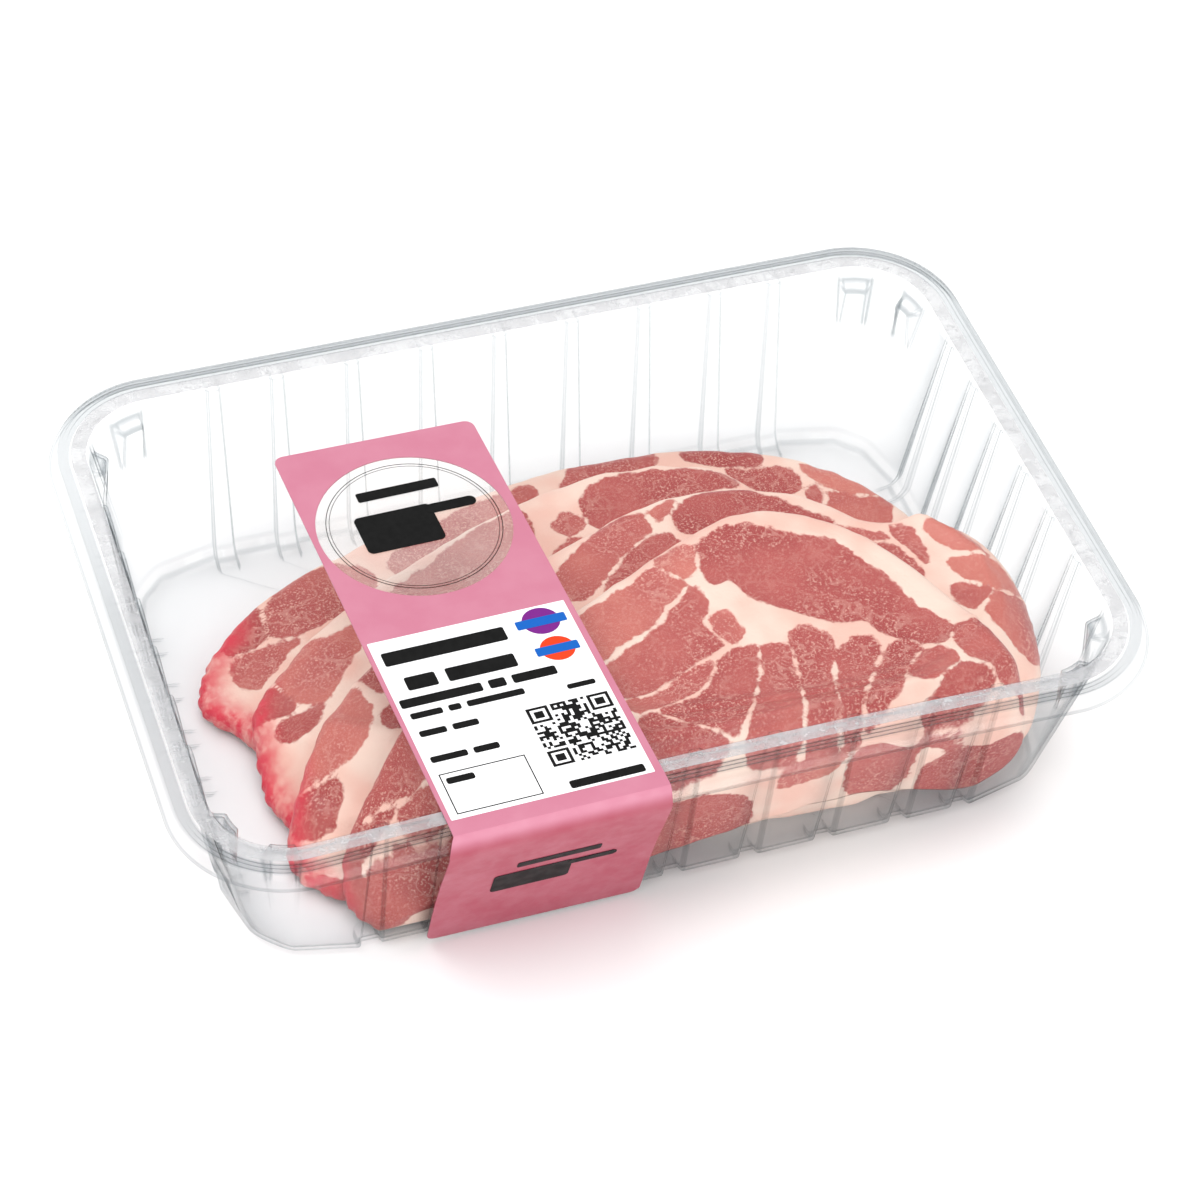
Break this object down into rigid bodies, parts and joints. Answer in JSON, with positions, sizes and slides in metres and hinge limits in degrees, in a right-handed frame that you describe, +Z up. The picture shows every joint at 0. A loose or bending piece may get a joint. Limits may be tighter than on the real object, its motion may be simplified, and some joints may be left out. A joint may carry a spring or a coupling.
{
  "type": "meat tray pack",
  "caption": "Clear ribbed food tray with fanned raw neck chops, sealed by a clear film under a plain pink paper label folded down the front wall.",
  "frame": {"origin": "under the middle of the tray, on the surface it rests on", "axes": "+X along the tray's long side, +Z up, -Y towards the wall that the label folds down"},
  "size_m": [0.26, 0.1799, 0.0586],
  "materials": {
    "tray_plastic": "clear, glossy, thermoformed",
    "film": "clear, glossy, taut",
    "label_paper": "satin coated pink, with a white printed panel",
    "meat": "moist raw meat with cream fat"
  },
  "bodies": {
    "root": {"tray": "tray_plastic", "lidding_film": "film", "label": "label_paper", "chop_1": "meat", "chop_2": "meat", "chop_3": "meat", "chop_4": "meat"}
  },
  "joints": []
}
